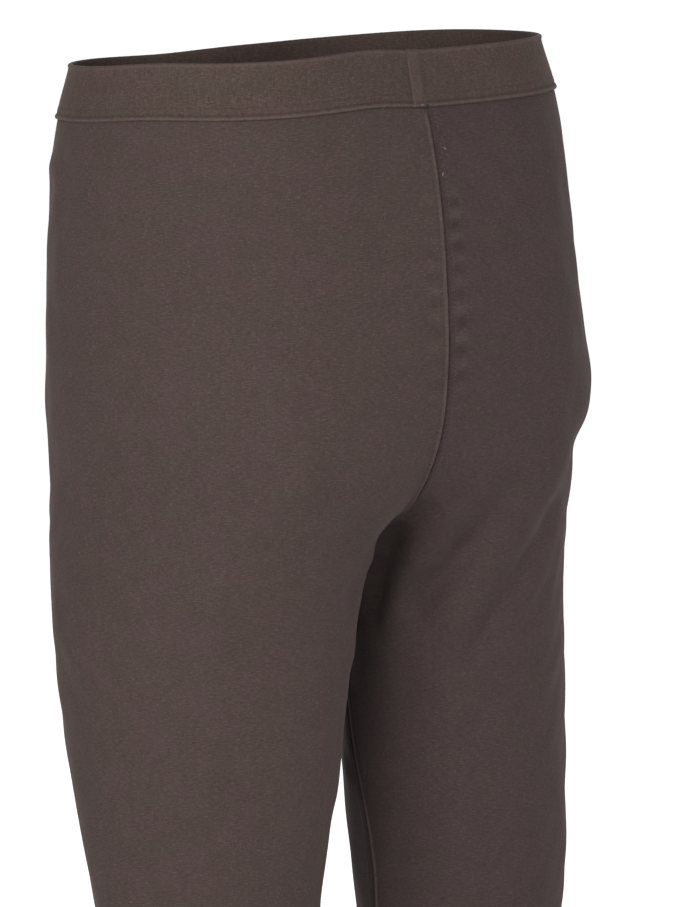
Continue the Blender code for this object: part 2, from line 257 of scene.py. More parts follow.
# Looks of the finishes. Colours are linear, sizes in metres of cloth.
jerseyLook = {
    "dark": (0.0425, 0.0298, 0.0275),
    "base": (0.0605, 0.0425, 0.0395),
    "light": (0.084, 0.061, 0.056),
    "rough": 0.95,
    "sheen": 0.11,
    "sheenRough": 0.28,
    "sheenTint": (1.0, 0.88, 0.84),
    "specular": 0.15,
    "streak": (0.0048, 0.0007, 0.25),  # length along the row, height, share in the colour
    "slub": (0.0017, 0.0011, 0.14),
    "mottle": (0.0160, 0.0130, 0.09),
    "cloud": (0.0900, 0.0700, 0.05),
    "grain": (0.0006, 0.0005, 0.10),
    "fleck": (0.0032, 0.0007, 0.26),  # sparse pale dashes along the row
    "nick": (0.0007, 0.0026, -0.20),  # sparse dark dashes down the wale
    "tint": (0.0280, 0.0220, 1.0),  # patches a shade redder or yellower
    "redder": (1.03, 0.985, 1.00),
    "yellower": (0.985, 1.010, 0.965),
    "noiseGain": 2.2,
    "dashAt": (0.58, 0.70),  # noise where a dash begins, and where it is full
    "shadeAt": (0.12, 0.5, 0.90),  # tone where the cloth is dark, base and light
    "tintAt": (0.38, 0.62),
    "reliefShares": {"streak": 0.9, "slub": 0.8, "grain": 0.5},
    "waleShare": 0.09,
    "loopShare": 0.07,
    "bend": 1.6,  # of the wales, by the slubs
    "chevron": 2.2,  # how far a loop's legs slope
    "wale": 0.00078,  # rib to rib
    "course": 0.00062,  # loop to loop down the wale
    "relief": 0.00022,
    "strength": 0.42,
}
elasticLook = dict(
    jerseyLook, dark=(0.0475, 0.0328, 0.0284), base=(0.0665, 0.0467, 0.0408),
    light=(0.095, 0.0677, 0.060),
    streak=(0.0014, 0.0090, 0.18), slub=(0.0030, 0.0011, 0.30), grain=(0.0008, 0.0006, 0.30),
    wale=0.00092, course=0.00070, relief=0.00026)
insideLook = dict(
    jerseyLook, base=(0.064, 0.046, 0.041), streak=(0.0040, 0.0007, 0.40), wale=0.00062,
    course=0.00078)
threadLook = {
    "seam": (0.088, 0.066, 0.061),
    "band": (0.044, 0.032, 0.027),
    "tack": (0.017, 0.010, 0.008),
    "loose": (0.36, 0.31, 0.28),
    "rough": 0.80,
    "sheen": 0.05,
    "twist": 0.0009,
    "plyPaintedShade": (0.62, 1.25),  # painted shade in the plies' dips and painted highlight on their tops, as shares of the colour
}


# a material with its shader's inputs set, and its node tree and shader
def newMaterial(name, inputs):
    material = bpy.data.materials.new(name)
    material.use_nodes = True
    shader = material.node_tree.nodes["Principled BSDF"]
    for key, value in inputs.items():
        shader.inputs[key].default_value = value
    return material, material.node_tree, shader


# add a node, set its values and its sockets
def addNode(tree, kind, settings=(), sockets=()):
    node = tree.nodes.new(kind)
    for name, value in dict(settings).items():
        setattr(node, name, value)
    for name, value in dict(sockets).items():
        node.inputs[name].default_value = value
    return node


# one operation on two numbers or sockets
def mathNode(tree, operation, first, second=None):
    node = addNode(tree, "ShaderNodeMath", {"operation": operation})
    for socket, value in zip(node.inputs, (first, second)):
        if value is None:
            continue
        if isinstance(value, (int, float)):
            socket.default_value = value
        else:
            tree.links.new(value, socket)
    return node.outputs[0]


# a smooth step of a number, from low at start to high at end
def stepNode(tree, value, start, end, low, high):
    step = addNode(tree, "ShaderNodeMapRange", {"interpolation_type": "SMOOTHSTEP"}, {
        "From Min": start, "From Max": end, "To Min": low, "To Max": high})
    tree.links.new(value, step.inputs["Value"])
    return step.outputs["Result"]


# colours blended along a number, each at its place
def rampNode(tree, value, places, colours):
    ramp = addNode(tree, "ShaderNodeValToRGB")
    elements = ramp.color_ramp.elements
    for element, k in zip(elements, (0, -1)):
        element.position, element.color = places[k], (*colours[k], 1.0)
    for place, colour in zip(places[1:-1], colours[1:-1]):
        elements.new(place).color = (*colour, 1.0)
    tree.links.new(value, ramp.inputs[0])
    return ramp.outputs[0]


# Knitted jersey on the cloth's own map in metres. Streaks, slubs, mottling and grain are noise
# stretched along the row, and the wales and loops are sines of the distance, bent by noise.
def knitMaterial(name, look):
    material, tree, shader = newMaterial(name, {
        "Roughness": look["rough"], "Specular IOR Level": look["specular"],
        "Sheen Weight": look["sheen"], "Sheen Roughness": look["sheenRough"],
        "Sheen Tint": (*look["sheenTint"], 1.0)})
    cloth = addNode(tree, "ShaderNodeUVMap", {"uv_map": "clothMap"}).outputs[0]

    def noiseOf(key, detail, turn=0.0):
        along, down = look[key][:2]
        place = addNode(tree, "ShaderNodeMapping", (), {"Scale": (1 / along, 1 / down, 1.0),
                                                        "Rotation": (0.0, 0.0, turn)})
        noise = addNode(tree, "ShaderNodeTexNoise", {"noise_dimensions": "2D"},
                        {"Scale": 1.0, "Detail": detail, "Roughness": 0.55})
        tree.links.new(cloth, place.inputs["Vector"])
        tree.links.new(place.outputs[0], noise.inputs["Vector"])
        return noise.outputs["Fac"]

    noises = {key: noiseOf(key, detail) for key, detail in
              (("streak", 2.0), ("slub", 3.0), ("mottle", 3.0), ("cloud", 2.0), ("grain", 1.0))}
    # the points' tone, much of it painted highlight and shade on the seams, puckers and band edges
    toneWithPaintedLight = addNode(tree, "ShaderNodeAttribute", {"attribute_name": "tone"}).outputs["Fac"]
    tone = mathNode(tree, "ADD", toneWithPaintedLight, 0.5)
    for key, noise in noises.items():
        share = mathNode(tree, "MULTIPLY", mathNode(tree, "SUBTRACT", noise, 0.5),
                         look[key][2] * look["noiseGain"])
        tone = mathNode(tree, "ADD", share, tone)
    for key in ("fleck", "nick"):
        dash = stepNode(tree, noiseOf(key, 1.0), *look["dashAt"], 0.0, look[key][2])
        tone = mathNode(tree, "ADD", tone, dash)

    shade = rampNode(tree, tone, look["shadeAt"], [look[key] for key in ("dark", "base", "light")])
    tint = rampNode(tree, noiseOf("tint", 3.0), look["tintAt"], (look["redder"], look["yellower"]))
    mix = addNode(tree, "ShaderNodeMix", {"data_type": "RGBA", "blend_type": "MULTIPLY"})
    mix.inputs["Factor"].default_value = look["tint"][2]
    tree.links.new(shade, mix.inputs["A"])
    tree.links.new(tint, mix.inputs["B"])
    tree.links.new(mix.outputs["Result"], shader.inputs["Base Color"])

    split = addNode(tree, "ShaderNodeSeparateXYZ")
    tree.links.new(cloth, split.inputs[0])
    bend = mathNode(tree, "MULTIPLY", noises["slub"], look["bend"])
    across = mathNode(tree, "MULTIPLY", split.outputs["X"], 2 * math.pi / look["wale"])
    down = mathNode(tree, "MULTIPLY", split.outputs["Y"], 2 * math.pi / look["course"])
    wales = mathNode(tree, "COSINE", mathNode(tree, "ADD", across, bend))
    chevron = mathNode(tree, "MULTIPLY", mathNode(tree, "ABSOLUTE", wales), look["chevron"])
    slope = mathNode(tree, "ADD", chevron, bend)
    loops = mathNode(tree, "SINE", mathNode(tree, "ADD", down, slope))
    height = 0.0
    for value, share in ((wales, look["waleShare"]), (loops, look["loopShare"]),
                         *[(noises[key], share) for key, share in look["reliefShares"].items()]):
        height = mathNode(tree, "ADD", height, mathNode(tree, "MULTIPLY", value, share))
    bump = addNode(tree, "ShaderNodeBump", (), {"Strength": look["strength"],
                                               "Distance": look["relief"]})
    tree.links.new(height, bump.inputs["Height"])
    tree.links.new(bump.outputs[0], shader.inputs["Normal"])
    return material


# sewing thread: two plies that dip in turn, with painted shade in the dips and painted highlight on
# the tops, on the piece's own coordinates
def threadMaterial(name, colour):
    material, tree, shader = newMaterial(name, {
        "Roughness": threadLook["rough"], "Sheen Weight": threadLook["sheen"]})
    place = addNode(tree, "ShaderNodeTexCoord").outputs["Object"]
    wave = addNode(tree, "ShaderNodeTexWave", {"bands_direction": "DIAGONAL"},
                   {"Scale": 0.5 / threadLook["twist"], "Distortion": 2.0, "Detail": 1.0})
    tree.links.new(place, wave.inputs["Vector"])
    paintedPlyShades = [[share * part for part in colour] for share in threadLook["plyPaintedShade"]]
    tree.links.new(rampNode(tree, wave.outputs["Fac"], (0.0, 1.0), paintedPlyShades),
                   shader.inputs["Base Color"])
    bump = addNode(tree, "ShaderNodeBump", (), {"Strength": 0.4, "Distance": 0.0001})
    tree.links.new(wave.outputs["Fac"], bump.inputs["Height"])
    tree.links.new(bump.outputs[0], shader.inputs["Normal"])
    return material


# painted shade: the right panel's jersey is a darker, cooler copy, standing for the shade the panel
# lies in as well as its knit lying the other way to the light
rightPaintedShade = (0.90, 0.893, 0.937)
rightShadedLook = dict(jerseyLook, **{
    key: tuple(share * part for share, part in zip(rightPaintedShade, jerseyLook[key]))
    for key in ("dark", "base", "light")})
jersey = {1: knitMaterial("jerseyFace", jerseyLook),
          -1: knitMaterial("jerseyFaceRightShaded", rightShadedLook)}
jerseyBack = knitMaterial("jerseyBack", insideLook)
elastic = knitMaterial("elasticFace", elasticLook)
seamThread, bandThread, tackThread, looseThread = [
    threadMaterial(key + "Thread", threadLook[key]) for key in ("seam", "band", "tack", "loose")]
print("materials made")

# The legs' cloth.
legCloth = {
    "thickness": 0.0011,
    "edgeGap": 0.00004,  # from the mid-plane to each panel's edge
    "rows": (0.0023, 0.0028, 0.0052),  # row spacing down to the fork, to mid thigh, to the hem
    "finerTo": -0.560,
    "columns": 128,  # between the two sewn edges
    "edgeColumns": (0.0, 0.0004, 0.0008, 0.0012, 0.0016, 0.0020, 0.0025, 0.0031, 0.0038, 0.0046,
                    0.0051, 0.0056, 0.0064, 0.0075, 0.0090, 0.0108, 0.0130),
    "foldMetresPerDegree": 0.0016,
    "foldFade": 12.0,  # degrees from the panel's edges within which folds die away
    "waveHeight": 0.00016,
    # of worn cloth: wavelengths along and down it, and phase
    "waves": ((0.061, 0.083, 0.3), (0.044, -0.070, 1.7), (0.110, 0.052, 4.1),
              (-0.036, 0.049, 2.2), (0.029, 0.120, 5.0)),
}
# Seams: the left panel's edge stands up as a ridge, the other panel dips beside it and lies on
# the seam allowance, with a line of stitches.
seam = {
    "ridgeHeight": 0.00115,
    "ridgePlace": 0.0012,
    "ridgeWidth": 0.0009,
    "ditchDepth": 0.00075,
    "ditchWidth": 0.0015,
    "allowance": 0.0066,
    "allowanceHeight": 0.00028,
    "stitchLine": 0.0051,
    "stitchDip": 0.00014,
    "stitchDipWidth": 0.0006,
    "insideAllowance": 0.0007,
    "ridgeHighlight": 0.24,  # painted highlight on the standing ridge, how much paler it is painted, and painted shade in the ditch, how much darker
    "toneWidth": 0.0010,
    "stitchPitch": 0.0026,
    "inseamHighlightGain": 2.6,  # times that, a stronger painted highlight along the inseams, which lie in shade
    "ditchShade": -0.20,
    "allowanceTone": -0.07,
}
puckers = {
    "height": 0.00085,
    "spacing": 0.0132,
    "place": {1: 0.0090, -1: 0.0092},  # distance from the centre back seam, left and right
    "width": {1: 0.0046, -1: 0.0048},
    "from": -0.070,
    "to": -0.190,
    "fade": 0.020,
    "tone": 0.30,  # painted highlight on their tops and painted shade in their dimples: how much paler the tops are
}
hem = {
    "depth": 0.020,
    "height": 0.00045,
    "step": 0.0012,
    "stitchRows": (0.0152, 0.0178),  # above the hem's fold
    "stitchPitch": 0.0026,
    "stitchDip": 0.00012,
    "stitchShare": 0.72,  # length of a stitch in its pitch
}
# Folds: side (+1 left, -1 right), turn and z of both ends, width, height. Turn is the angle round
# the ring in degrees, 0 outside, 180 at the back edge, -180 at the front edge.
folds = (
    # right thigh: ridges and troughs that run up to the hip, and the pinch under the hip
    (-1, 128, -0.352, 98, -0.286, 0.012, 0.003),
    (-1, 88, -0.262, 80, -0.243, 0.013, 0.0026),
    (-1, 122, -0.376, 98, -0.322, 0.009, -0.0042),
    (-1, 93, -0.311, 80, -0.281, 0.01, -0.0028),
    (-1, 147, -0.347, 126, -0.307, 0.009, -0.006),
    (-1, 121, -0.297, 104, -0.262, 0.009, -0.0038),
    (-1, 147, -0.318, 128, -0.279, 0.009, 0.002),
    (-1, 92, -0.342, 76, -0.3, 0.009, 0.0012),
    (-1, 76, -0.348, 66, -0.3, 0.007, 0.0012),
    (-1, 58, -0.216, 36, -0.196, 0.02, 0.0046),
    (-1, 66, -0.245, 38, -0.248, 0.012, -0.0024),
    # the pocket beside the fork and the trough that runs up from it along the seam
    (-1, 155, -0.299, 172, -0.356, 0.01, -0.0078),
    (-1, 135, -0.2725, 149, -0.29, 0.0065, -0.004),
    # left thigh: its inner edge, where it is drawn to the fork, and the trough beside it
    (1, 143, -0.308, 143, -0.366, 0.014, 0.0044),
    (1, 143, -0.39, 146, -0.455, 0.016, 0.0022),
    (1, 148, -0.2865, 152, -0.299, 0.008, -0.006),
    (1, 96, -0.262, 134, -0.322, 0.014, -0.003),
    # the bulge under the band
    (1, -40, -0.057, -14, -0.065, 0.008, 0.0044),
    (1, -36, -0.045, -14, -0.05, 0.0065, -0.0018),
    # front of the fork
    (1, -150, -0.3, -95, -0.255, 0.014, -0.0032),
    (-1, -147, -0.308, -100, -0.262, 0.015, -0.003),
    # backs of the knees
    (1, 120, -0.572, 60, -0.585, 0.013, -0.0028),
    (-1, 125, -0.58, 65, -0.568, 0.013, -0.0028),
    # fine folds down the left thigh, and the crease beside the right inseam
    (1, 84, -0.3435, 90, -0.4075, 0.008, -0.001),
    (1, 90, -0.4075, 80, -0.445, 0.008, -0.001),
    (1, 66, -0.33, 62, -0.43, 0.012, 0.0007),
    (-1, -158, -0.45, -172, -0.4685, 0.006, -0.0008),
    (-1, -164, -0.424, -164, -0.466, 0.016, 0.0026),
    # fine whiskers at the front of the fork
    (1, -160, -0.268, -112, -0.232, 0.007, 0.0011),
    (1, -158, -0.284, -105, -0.262, 0.006, -0.001),
    (-1, -162, -0.262, -118, -0.222, 0.008, 0.001),
    (-1, -156, -0.29, -108, -0.272, 0.006, -0.001),
    (1, -140, -0.345, -100, -0.318, 0.009, 0.0009),
    (-1, -142, -0.338, -98, -0.322, 0.009, 0.001),
    # fronts of the hips, under the band
    (1, -70, -0.052, -52, -0.088, 0.009, 0.0008),
    (-1, -64, -0.05, -48, -0.094, 0.01, 0.0008),
    # knees
    (1, 132, -0.602, 72, -0.596, 0.007, 0.0013),
    (1, 108, -0.618, 58, -0.628, 0.007, -0.0011),
    (-1, 128, -0.604, 66, -0.608, 0.007, 0.0013),
    (-1, 112, -0.628, 60, -0.62, 0.007, -0.0011),
    (1, -40, -0.566, -120, -0.56, 0.01, 0.0009),
    (-1, -44, -0.56, -118, -0.568, 0.01, 0.0009),
    # ankles, where the cloth gathers a little above the hem
    (1, 30, -0.898, 150, -0.906, 0.007, 0.0016),
    (1, -20, -0.912, -140, -0.902, 0.007, 0.0015),
    (1, 60, -0.88, 130, -0.872, 0.007, 0.0012),
    (1, -60, -0.884, -150, -0.878, 0.0075, 0.0012),
    (-1, 24, -0.904, 146, -0.898, 0.007, 0.0016),
    (-1, -26, -0.9, -144, -0.91, 0.007, 0.0015),
    (-1, 52, -0.876, 136, -0.882, 0.007, 0.0012),
    (-1, -56, -0.878, -146, -0.87, 0.0075, 0.0012),
)


# sum of the folds: each a soft ridge or trough about its line
def foldHeight(side, turn, z):
    scale = legCloth["foldMetresPerDegree"]
    place = np.stack([turn * scale, z], -1)
    height = np.zeros(turn.shape)
    for foldSide, turnA, zA, turnB, zB, width, rise in folds:
        if foldSide == side:
            start = np.array([turnA * scale, zA])
            line = np.array([turnB * scale, zB]) - start
            share = np.clip((place - start) @ line / (line @ line), 0.0, 1.0)
            off = np.linalg.norm(place - start - share[..., None] * line, axis=-1)
            height += rise * hump(off, 0.0, width)
    return height


# a few long sines across each other, shifted from one leg to the other
def unevenness(side, along, level):
    return sum(legCloth["waveHeight"]
               * np.sin(2 * math.pi * (along / a + level / b) + phase + 1.3 * side)
               for a, b, phase in legCloth["waves"])


# relief of a sewn edge by the distance from it, on the standing side or on the lying side
def seamRelief(distance, standing):
    ridge = seam["ridgeHeight"] * hump(distance, seam["ridgePlace"], seam["ridgeWidth"])
    ditch = -seam["ditchDepth"] * hump(distance, 0.0, seam["ditchWidth"])
    lies = seam["allowanceHeight"] * (smoothStep(distance, 0.0008, 0.0026)
                                      * (1 - smoothStep(distance, seam["allowance"],
                                                        seam["allowance"] + 0.0020)))
    dip = -seam["stitchDip"] * hump(distance, seam["stitchLine"], seam["stitchDipWidth"])
    return standing * ridge + (1 - standing) * (ditch + lies + dip)


# painted light on a sewn edge by the same distances, uneven down the seam: a painted highlight on
# the standing ridge, painted shade in the ditch, and the lying side a little darker over the
# allowance
def seamPaintedLight(distance, standing, level):
    alongSeamChange = 1 + 0.45 * np.sin(level * 2100) * np.sin(level * 830 + 1) + 0.2 * np.sin(level * 260)
    ridge = seam["ridgeHighlight"] * alongSeamChange * hump(distance, seam["ridgePlace"], seam["toneWidth"])
    ditch = seam["ditchShade"] * hump(distance, 0.0, seam["ditchWidth"])
    lies = seam["allowanceTone"] * alongSeamChange * (1 - smoothStep(distance, 0.0045, seam["allowance"]))
    return standing * ridge + (1 - standing) * (ditch + lies)


# small dimples beside the centre back seam: a cosine down the seam, fading away from it
def puckerRelief(side, fromBack, level):
    phase = 2 * math.pi * level / puckers["spacing"] + 1.1 * np.sin(level * 61) + 0.8 * side
    near = hump(fromBack, puckers["place"][side], puckers["width"][side])
    start, end, fade = puckers["from"], puckers["to"], puckers["fade"]
    shown = smoothStep(level, end - fade, end + fade) * (1 - smoothStep(level, start - fade, start))
    uneven = 0.70 + 0.22 * np.sin(level * 97 + 2.0 * side) - 0.20 * side
    return puckers["height"] * np.cos(phase) * near * shown * uneven


# heights of the rows, from under the band to the hem's fold
def legLevels():
    top = -garment["bandDepth"] + garment["bandLap"]
    fork, finerTo, end = garment["forkZ"], legCloth["finerTo"], -garment["length"]
    hemTop = end + hem["depth"]
    parts = [np.arange(top, fork + 0.001, -legCloth["rows"][0]), [fork],
             np.arange(fork - legCloth["rows"][1], finerTo, -legCloth["rows"][1]),
             np.arange(finerTo, hemTop + 0.002, -legCloth["rows"][2]),
             hemTop - np.array([-0.0010, 0.0, 0.0008, 0.0016, 0.0022, 0.0034, 0.0048, 0.0080,
                                0.0120, 0.0160]),
             end + np.array([0.0016, 0.0008, 0.0002, 0.0])]
    return np.concatenate(parts), len(parts[0])


# One leg's cloth as a closed shell: the outer sheet with its folds, sewn edges and hem, the inner
# sheet a thickness inside it, and rims between them.
def makeLeg(side, name):
    levels, forkRow = legLevels()
    edge = np.array(legCloth["edgeColumns"])
    even = np.linspace(0.0, 1.0, legCloth["columns"] + 1)[1:-1]

    def distances(length):
        # closer together at the back
        middle = edge[-1] + (length - 2 * edge[-1]) * (even * (1.3 - 0.3 * even))[None, :]
        ends = edge[None, :] + 0 * length
        return np.concatenate([ends, middle, length - ends[:, ::-1]], axis=1)

    face, turn, z, along = panelRows(side, levels, distances, legCloth["edgeGap"])
    turn = (turn + 180.0) % 360.0 - 180.0
    fromFront, fromBack = along, along[:, -1:] - along
    level = levels[:, None] + 0 * along
    normal = panelNormals(face, side, forkRow)
    inset = (np.minimum(1.0, (180.0 - np.abs(turn)) / legCloth["foldFade"])
             * smoothStep(z, -0.05, -0.09))
    soft = smoothStep(z, -0.036, -0.060) * np.minimum(1.0, np.minimum(fromFront, fromBack) / 0.02)
    dimples = puckerRelief(side, fromBack, level)
    face = face + normal * (foldHeight(side, turn, z) * inset
                            + unevenness(side, along, level) * soft + dimples)[..., None]
    normal = panelNormals(face, side, forkRow)

    sewn = smoothStep(level, -garment["bandDepth"] - 0.0005, -garment["bandDepth"] - 0.0060)
    above = np.arange(len(levels))[:, None] <= forkRow
    backStands, frontStands = np.where(above, side > 0, True), np.where(above, side > 0, False)
    relief = seamRelief(fromBack, backStands) + seamRelief(fromFront, frontStands)
    end = -garment["length"]
    hemTop = end + hem["depth"]
    hemShare = smoothStep(level, hemTop + 0.0002, hemTop - hem["step"])
    rolled = smoothStep(level, end - 0.0002, end + 0.0018)
    hemDip = sum(-hem["stitchDip"] * hump(level - end, row, seam["stitchDipWidth"])
                 for row in hem["stitchRows"])
    outside = relief * sewn * (1 - 0.5 * hemShare) + hem["height"] * hemShare * rolled + hemDip
    under = np.minimum(fromFront, fromBack)
    allowance = seam["insideAllowance"] * (1 - smoothStep(under, 0.0050, 0.0072))
    inside = (-legCloth["thickness"] * (0.35 + 0.65 * rolled)
              - allowance * sewn * smoothStep(under, 0.0, 0.0012)
              - 0.0003 * hemShare * rolled)
    # Painted light and shade: highlights on the seam ridges and pucker tops, shade in the ditches
    # and dimples, and a stronger highlight along the inseams, which lie in shade.
    sewnPaintedLight = seamPaintedLight(fromBack, backStands, level) + seamPaintedLight(fromFront, frontStands, level)
    toneWithPaintedLight = (sewnPaintedLight * sewn * np.where(above, 1.0, seam["inseamHighlightGain"])
             + puckers["tone"] / puckers["height"] * dimples)
    toneWithPaintedLight = np.stack([toneWithPaintedLight, 0 * toneWithPaintedLight])
    sheets = []
    for offset in (outside, inside):
        sheet = face + normal * offset[..., None]
        sheet[..., 0] = side * np.maximum(side * sheet[..., 0], legCloth["edgeGap"])
        sheet[:forkRow + 1, (0, -1), 0] = side * legCloth["edgeGap"]
        sheets.append(sheet)

    number, faces = shellFaces(*face.shape[:2], forkRow + 1)
    slots = np.repeat([0, 1, 0, 0, 0, 0], [len(part) for part in faces])
    corner = np.concatenate(faces)
    if side < 0:
        corner = corner[:, ::-1]
    joined = number.copy()
    joined[:, forkRow:, -1] = joined[:, forkRow:, 0]
    used, vertex = np.unique(joined.ravel()[corner.ravel()], return_inverse=True)
    points = np.concatenate([sheet.reshape(-1, 3) for sheet in sheets])[used]
    middle = along[:, -1:] * 0.5
    cloth = np.stack([along - middle, level], -1).reshape(-1, 2)
    cloth = np.concatenate([cloth, cloth])[corner.ravel()]
    piece = meshObject(name, points, vertex.reshape(-1, 4), [jersey[side], jerseyBack], cloth,
                       slots, tone=toneWithPaintedLight.ravel()[used])
    return piece, {"face": sheets[0], "normal": normal, "levels": levels, "forkRow": forkRow,
                   "width": float(along[:, -1].max())}


legLeft, leftGrid = makeLeg(1, "legLeftCloth")
legRight, rightGrid = makeLeg(-1, "legRightCloth")
print("legs made:", len(legLeft.data.polygons), "quads each")

# The waistband: distance out from the panels' face and depth below the band's upper edge, in mm,
# down the outside and up the inside.
band = {
    "outline": ((0.3, -0.10), (1.2, 0.25), (1.75, 1.0), (1.8, 1.9), (1.38, 2.9), (1.30, 4.4),
                (1.42, 9.0), (1.48, 16.0), (1.42, 22.5), (1.36, 25.2), (1.20, 26.0), (1.40, 26.8),
                (1.42, 29.2), (1.12, 30.3), (1.55, 31.2), (1.98, 32.2), (1.92, 33.1),
                (1.35, 33.6), (0.60, 33.55), (0.32, 32.9), (0.32, 30.0), (0.30, 27.4),
                (-0.30, 26.5), (-1.30, 26.4), (-1.75, 25.4), (-1.8, 20.0), (-1.8, 10.0),
                (-1.8, 2.0), (-1.35, 0.5), (-0.55, -0.05)),
    "steps": 3,  # points between two of the outline's
    "columnsPerHalf": 320,
    "topAt": (0.0011, 0.0012),  # depth and width of the rolled edge
    "footAt": (0.0325, 0.0012),  # the same, of the ridge at the foot
    "needleAt": (0.0303, 0.0006),  # and of the line of stitches
    "secondRow": 0.0260,
    "stitchPitch": 0.0024,
    "faceAt": (0.003, 0.008, 0.024, 0.029),  # depths between which the ripple comes and goes
    # depths of the painted shadow under the foot
    "underShadowAt": (0.0329, 0.0335),
    "topBump": 0.00020,
    "footBump": 0.00010,
    "bumpLengths": (0.0031, 0.0043, 0.0067, 0.0110),
    "ripple": 0.00011,
    "rippleLengths": (0.0090, 0.0140, 0.0230, 0.0330),
    "needleDip": 0.00010,
    "edgeHighlight": 0.31,  # painted highlight: how much paler the rolled edge is painted
    "footHighlightGain": 1.3,  # times that, for the painted highlight on the ridge at the foot
    # painted shade along the stitched line and painted shadow under the foot: how much darker
    "stitchedShade": -0.20,
    "underShadowGain": 1.8,  # times that, for the painted shadow under the foot
}


# closed curve through the outline's points, each run a cubic through its four neighbours
def closedCurve(points, steps):
    points = np.asarray(points)
    u = (np.arange(steps) / steps)[None, :, None]
    before, start, end, after = [np.roll(points, k, axis=0)[:, None] for k in (1, 0, -1, -2)]
    curve = 0.5 * (2 * start + (end - before) * u
                   + (2 * before - 5 * start + 4 * end - after) * u ** 2
                   + (3 * start - before - 3 * end + after) * u ** 3)
    return curve.reshape(-1, points.shape[1])


# closed rings of the panels' face at depths below the band's edge, with outward normals
def waistRings(depths):
    even = np.linspace(0.0, 1.0, band["columnsPerHalf"] + 1)[None, :]
    loops = []
    for shift in (0.001, 0.0, -0.001):
        left, right = [panelRows(side, -np.asarray(depths) + shift, lambda length: length * even,
                                 0.0)[0] for side in (1, -1)]
        loops.append(np.concatenate([left, right[:, -2:0:-1]], axis=1))
    along = np.roll(loops[1], -1, axis=1) - np.roll(loops[1], 1, axis=1)
    return loops[1], unit(np.cross(loops[2] - loops[0], along))


# sum of sines of the distance round the band, each with its own wavelength in metres
def bumps(distance, lengths, seed):
    total = 2 * math.pi * distance
    return sum(np.sin(total / length + seed * (k + 1) * 1.7)
               for k, length in enumerate(lengths)) / len(lengths)


# the band's outline carried round the waist, with an uneven rolled edge, a ridge along its foot and
# the faint ripple of stretched elastic; its rolled edge and foot ridge are painted paler as
# highlights, with painted shade along the stitched line and painted shadow under the foot
def makeBand():
    outline = closedCurve(band["outline"], band["steps"]) / 1000
    out, depth = outline[:, :1], outline[:, 1:]
    ring, normal = waistRings(depth[:, 0])
    distance = distanceAlong(ring[np.argmin(np.abs(depth - 0.016))], True)[None, :]
    whole, around = distance[0, -1], distance[:, :-1]
    outer = smoothStep(out, -0.0002, 0.0010)
    top, foot, needle = [hump(depth, *band[key]) * outer for key in ("topAt", "footAt", "needleAt")]
    on, full, fades, off = band["faceAt"]
    face = smoothStep(depth, on, full) * (1 - smoothStep(depth, fades, off)) * outer
    cycles, slow, pitch = [np.array([whole / round(whole / length) for length in lengths])
                           for lengths in (band["bumpLengths"], band["rippleLengths"],
                                           [band["stitchPitch"]])]
    lift = (out + band["topBump"] * bumps(around, cycles, 1.0) * top
            + band["footBump"] * bumps(around, cycles, 2.3) * foot
            + band["ripple"] * bumps(around + 0.15 * depth, slow, 0.6) * face
            - band["needleDip"] * needle * np.cos(2 * math.pi * around / pitch))
    # painted highlight on the rolled edge and the foot ridge, painted shade along the stitched line
    # and painted shadow under the foot
    edgeHighlights = top + band["footHighlightGain"] * foot ** 2 * (1 + 0.4 * bumps(around, cycles, 1.9))
    under = needle + band["underShadowGain"] * outer * smoothStep(depth, *band["underShadowAt"])
    toneWithPaintedLight = band["edgeHighlight"] * edgeHighlights + band["stitchedShade"] * under
    rings = ring + normal * lift[..., None]
    rings[..., 2] += band["topBump"] * 1.1 * bumps(around, cycles, 3.1) * top
    rows, columns = rings.shape[:2]
    number = np.arange(rows * columns).reshape(rows, columns)
    below, beside = np.roll(number, -1, axis=0), np.roll(number, -1, axis=1)
    faces = quadsOf(number, below, np.roll(below, -1, axis=1), beside)
    run = distanceAlong(outline, True)[:, None]
    cloth = np.stack(np.broadcast_arrays(distance, -run), -1)
    corners = np.stack([cloth[:-1, :-1], cloth[1:, :-1], cloth[1:, 1:], cloth[:-1, 1:]], 2)
    piece = meshObject("bandCloth", rings.reshape(-1, 3), faces, [elastic], corners.reshape(-1, 2),
                       tone=toneWithPaintedLight)
    return piece, {"rings": rings, "normal": normal, "depth": depth[:, 0], "out": out[:, 0],
                   "whole": whole}


bandPiece, bandGrid = makeBand()
print("band made:", len(bandPiece.data.polygons), "quads,", round(bandGrid["whole"], 3), "m round")

# The lapped end of the elastic at the centre back: a strip on the band's face.
join = {
    "width": 0.0086,
    "thickness": 0.0010,
    "clear": 0.00012,
    "lean": 0.0052,  # to the left at its foot
    "tone": 0.16,
    "columns": 17,
    "fray": 0.00016,
    "uneven": 0.00008,
}


